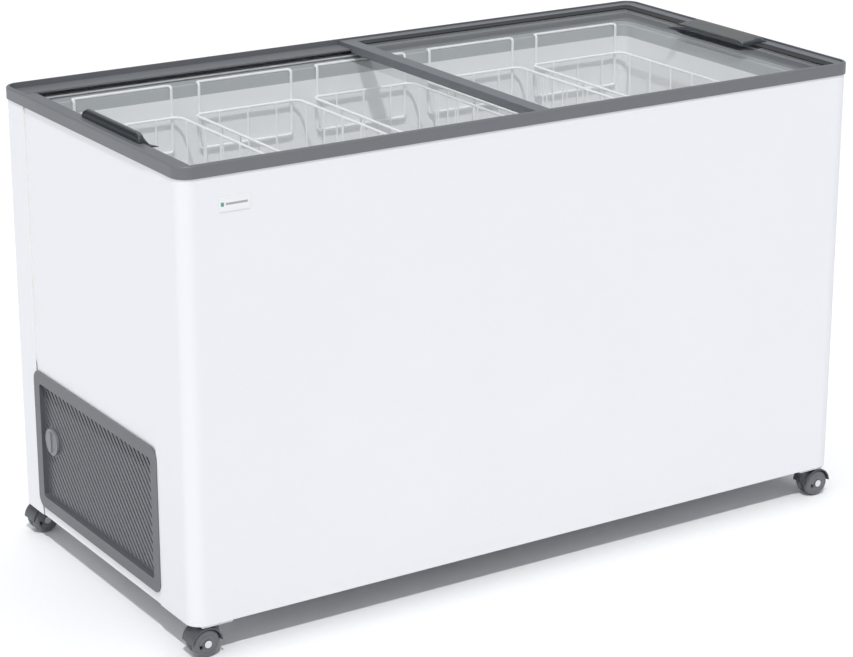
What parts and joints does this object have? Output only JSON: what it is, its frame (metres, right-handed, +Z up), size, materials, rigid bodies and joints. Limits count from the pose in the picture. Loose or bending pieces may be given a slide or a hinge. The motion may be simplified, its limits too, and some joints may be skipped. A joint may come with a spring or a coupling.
{
  "type": "chest freezer",
  "caption": "White chest freezer with two sliding glass lids in a dark grey frame, hanging wire baskets, a side vent grille and twin-wheel castors.",
  "frame": {"origin": "on the floor under the middle of the cabinet", "axes": "+X along the length towards the upper lid's handle, -Y towards the user (front), +Z up"},
  "size_m": [1.35, 0.66, 0.836],
  "materials": {
    "white_paint": "smooth prepainted steel, semi-gloss",
    "grey_profile": "extruded PVC, satin dark grey",
    "dark_grip": "fine-grained moulding, near black",
    "lid_glass": "clear toughened, low-emissivity",
    "liner_white": "white coated aluminium",
    "collar_grey": "light grey extrusion",
    "basket_wire": "white epoxy dipped wire",
    "foam": "rigid polyurethane foam",
    "zinc_steel": "galvanised",
    "copper": "drawn copper tube",
    "black_plastic": "moulded",
    "black_rubber": "moulded",
    "grille_grey": "moulded, satin",
    "black_paint": "stoved enamel",
    "bare_aluminium": "mill",
    "white_plastic": "moulded",
    "castor_grey": "moulded nylon",
    "wheel_grey": "moulded nylon",
    "bright_steel": "plated",
    "pile": "brush strip"
  },
  "bodies": {
    "cabinet": {"front_panel": "white_paint", "rear_panel": "white_paint", "left_side_panel": "white_paint", "right_side_panel": "white_paint", "base_pan": "zinc_steel", "machine_bulkhead": "zinc_steel", "castor_plates": "zinc_steel", "castor_pins": "zinc_steel", "insulation": "foam", "liner": "liner_white", "evaporator_coil": "copper", "refrigerant_pipes": "copper", "filter_drier": "copper", "inner_collar": "collar_grey", "top_frame": "grey_profile", "badge": "bare_aluminium", "condenser": "bare_aluminium", "thermostat_body": "white_plastic", "compressor_feet": "black_rubber", "cable_gland": "black_rubber", "vent_grille": "grille_grey", "grille_screws": "bright_steel", "castor_screws": "bright_steel", "compressor": "black_paint", "compressor_relay_box": "black_plastic", "fan_shroud": "black_plastic", "fan_motor": "zinc_steel"},
    "upper_lid": {"upper_lid_glass": "lid_glass", "upper_lid_frame": "grey_profile", "upper_lid_centre_bar": "grey_profile", "upper_lid_handle": "dark_grip", "upper_lid_glazing_bead": "black_rubber", "upper_lid_brush_seal": "pile"},
    "lower_lid": {"lower_lid_glass": "lid_glass", "lower_lid_end_rail": "grey_profile", "lower_lid_handle": "dark_grip", "lower_lid_border": "grey_profile", "lower_lid_runners": "white_plastic"},
    "basket_body_1": {"basket_1": "basket_wire"},
    "basket_body_2": {"basket_2": "basket_wire"},
    "basket_body_3": {"basket_3": "basket_wire"},
    "basket_body_4": {"basket_4": "basket_wire"},
    "basket_body_5": {"basket_5": "basket_wire"},
    "thermostat_dial": {"thermostat_knob": "grille_grey"},
    "fan": {"fan_blade": "black_plastic"},
    "castor_fl": {"castor_hood_fl": "castor_grey", "castor_axle_fl": "bright_steel"},
    "wheels_fl": {"castor_wheels_fl": "wheel_grey"},
    "castor_fr": {"castor_hood_fr": "castor_grey", "castor_axle_fr": "bright_steel"},
    "wheels_fr": {"castor_wheels_fr": "wheel_grey"},
    "castor_rl": {"castor_hood_rl": "castor_grey", "castor_axle_rl": "bright_steel"},
    "wheels_rl": {"castor_wheels_rl": "wheel_grey"},
    "castor_rr": {"castor_hood_rr": "castor_grey", "castor_axle_rr": "bright_steel"},
    "wheels_rr": {"castor_wheels_rr": "wheel_grey"}
  },
  "joints": [
    {"name": "upper_lid_slide", "type": "slide", "parent": "cabinet", "child": "upper_lid", "axis": [1, 0, 0], "range_m": [-0.61, 0]},
    {"name": "lower_lid_slide", "type": "slide", "parent": "cabinet", "child": "lower_lid", "axis": [1, 0, 0], "range_m": [0, 0.61]},
    {"name": "basket_1_lift", "type": "slide", "parent": "cabinet", "child": "basket_body_1", "axis": [0, 0, 1], "range_m": [0, 0.003]},
    {"name": "basket_2_lift", "type": "slide", "parent": "cabinet", "child": "basket_body_2", "axis": [0, 0, 1], "range_m": [0, 0.003]},
    {"name": "basket_3_lift", "type": "slide", "parent": "cabinet", "child": "basket_body_3", "axis": [0, 0, 1], "range_m": [0, 0.003]},
    {"name": "basket_4_lift", "type": "slide", "parent": "cabinet", "child": "basket_body_4", "axis": [0, 0, 1], "range_m": [0, 0.003]},
    {"name": "basket_5_lift", "type": "slide", "parent": "cabinet", "child": "basket_body_5", "axis": [0, 0, 1], "range_m": [0, 0.003]},
    {"name": "thermostat_turn", "type": "hinge", "parent": "cabinet", "child": "thermostat_dial", "pos_m": [-0.666, 0.2, 0.21], "axis": [1, 0, 0], "range_deg": [0, 270]},
    {"name": "fan_spin", "type": "hinge", "parent": "cabinet", "child": "fan", "pos_m": [-0.547, -0.19, 0.188], "axis": [0, 1, 0], "continuous": true},
    {"name": "castor_fl_swivel", "type": "hinge", "parent": "cabinet", "child": "castor_fl", "pos_m": [-0.628, -0.308, 0.045], "axis": [0, 0, 1], "continuous": true},
    {"name": "wheels_fl_roll", "type": "hinge", "parent": "castor_fl", "child": "wheels_fl", "pos_m": [-0.646, -0.308, 0.025], "axis": [0, 1, 0], "continuous": true},
    {"name": "castor_fr_swivel", "type": "hinge", "parent": "cabinet", "child": "castor_fr", "pos_m": [0.628, -0.308, 0.045], "axis": [0, 0, 1], "continuous": true},
    {"name": "wheels_fr_roll", "type": "hinge", "parent": "castor_fr", "child": "wheels_fr", "pos_m": [0.646, -0.308, 0.025], "axis": [0, 1, 0], "continuous": true},
    {"name": "castor_rl_swivel", "type": "hinge", "parent": "cabinet", "child": "castor_rl", "pos_m": [-0.628, 0.308, 0.045], "axis": [0, 0, 1], "continuous": true},
    {"name": "wheels_rl_roll", "type": "hinge", "parent": "castor_rl", "child": "wheels_rl", "pos_m": [-0.646, 0.308, 0.025], "axis": [0, 1, 0], "continuous": true},
    {"name": "castor_rr_swivel", "type": "hinge", "parent": "cabinet", "child": "castor_rr", "pos_m": [0.628, 0.308, 0.045], "axis": [0, 0, 1], "continuous": true},
    {"name": "wheels_rr_roll", "type": "hinge", "parent": "castor_rr", "child": "wheels_rr", "pos_m": [0.646, 0.308, 0.025], "axis": [0, 1, 0], "continuous": true}
  ]
}
